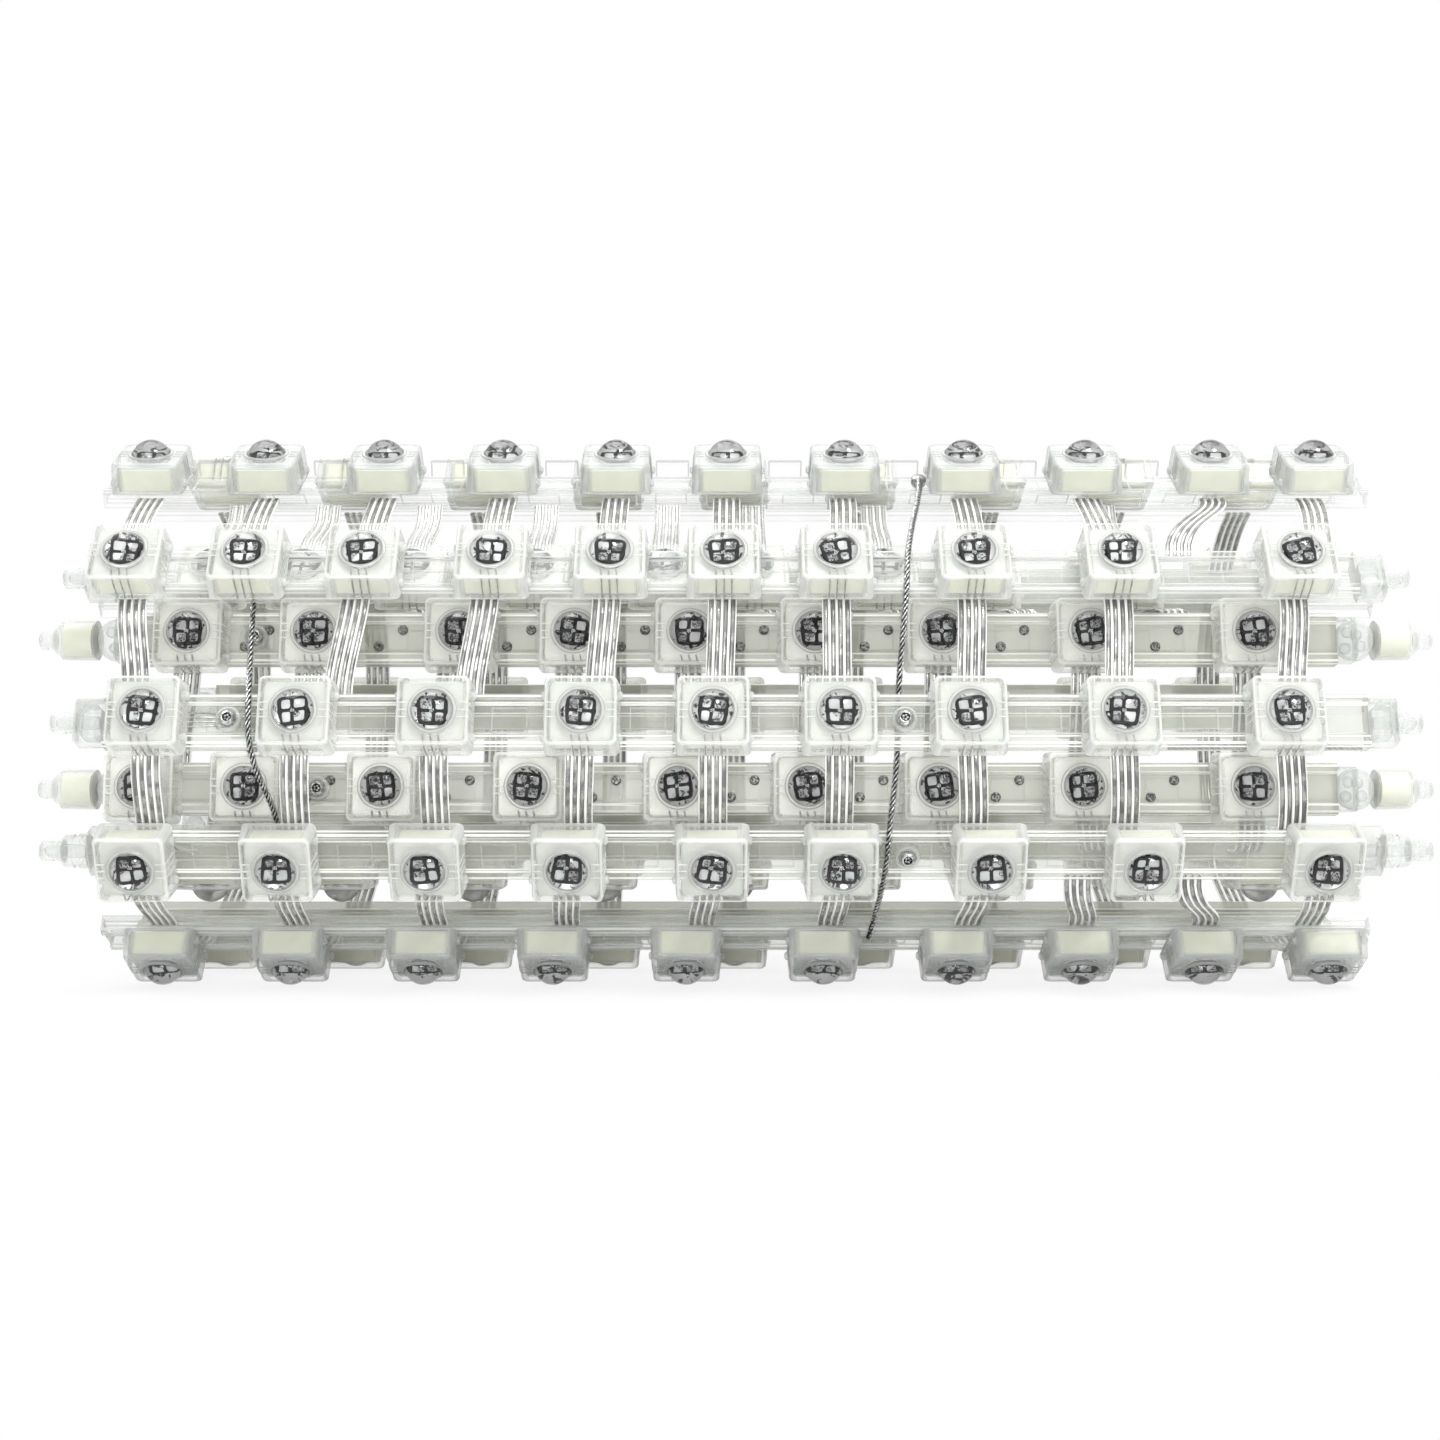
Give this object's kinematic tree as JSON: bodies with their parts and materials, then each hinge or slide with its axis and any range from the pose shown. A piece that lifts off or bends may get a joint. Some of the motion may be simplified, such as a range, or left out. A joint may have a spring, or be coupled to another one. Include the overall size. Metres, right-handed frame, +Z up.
{
  "type": "flexible led mesh screen",
  "caption": "Rolled-up flexible LED mesh: clear rails carry lensed LED modules and are joined by flat ribbons and wire ropes, for a see-through display screen.",
  "frame": {"origin": "middle of the roll's length and width, on the surface that it rests on", "axes": "+X along the roll's axis to its right end, +Z up, the pictured side faces -Y"},
  "size_m": [0.53, 0.2226, 0.2143],
  "materials": {
    "clear_rail": "clear extruded plastic with a faint grey tint",
    "clear_cover": "clear moulded plastic, glossy",
    "cream_potting": "satin cream-white potting",
    "led_chip": "four pale panes in a black frame",
    "ribbon": "clear jacket over tinned wires",
    "wire_rope": "twisted steel strands",
    "ferrule_metal": "bright crimped metal",
    "cream_seal": "matt cream sleeve"
  },
  "bodies": {
    "root": {"row_01_rail": "clear_rail", "row_01_covers": "clear_cover", "row_01_blocks": "cream_potting", "row_02_rail": "clear_rail", "row_02_covers": "clear_cover", "row_02_blocks": "cream_potting", "row_03_rail": "clear_rail", "row_03_covers": "clear_cover", "row_03_blocks": "cream_potting", "row_04_rail": "clear_rail", "row_04_covers": "clear_cover", "row_04_blocks": "cream_potting", "row_05_rail": "clear_rail", "row_05_covers": "clear_cover", "row_05_blocks": "cream_potting", "row_06_rail": "clear_rail", "row_06_covers": "clear_cover", "row_06_blocks": "cream_potting", "row_07_rail": "clear_rail", "row_07_covers": "clear_cover", "row_07_blocks": "cream_potting", "row_08_rail": "clear_rail", "row_08_covers": "clear_cover", "row_08_blocks": "cream_potting", "row_09_rail": "clear_rail", "row_09_covers": "clear_cover", "row_09_blocks": "cream_potting", "row_10_rail": "clear_rail", "row_10_covers": "clear_cover", "row_10_blocks": "cream_potting", "row_11_rail": "clear_rail", "row_11_covers": "clear_cover", "row_11_blocks": "cream_potting", "row_12_rail": "clear_rail", "row_12_covers": "clear_cover", "row_12_blocks": "cream_potting", "row_13_rail": "clear_rail", "row_13_covers": "clear_cover", "row_13_blocks": "cream_potting", "row_14_rail": "clear_rail", "row_14_covers": "clear_cover", "row_14_blocks": "cream_potting", "outer_led_chips": "led_chip", "inner_led_chips": "led_chip", "short_end_plugs": "clear_rail", "long_end_plugs": "clear_rail", "sealed_end_plugs": "clear_rail", "end_plug_seals": "cream_seal", "rope_bosses": "clear_rail", "rope_ferrules": "ferrule_metal", "rope_stop": "ferrule_metal", "outer_ribbons": "ribbon", "link_ribbons": "ribbon", "inner_ribbons": "ribbon", "long_rope": "wire_rope", "short_rope": "wire_rope", "cross_rope": "wire_rope"}
  },
  "joints": []
}
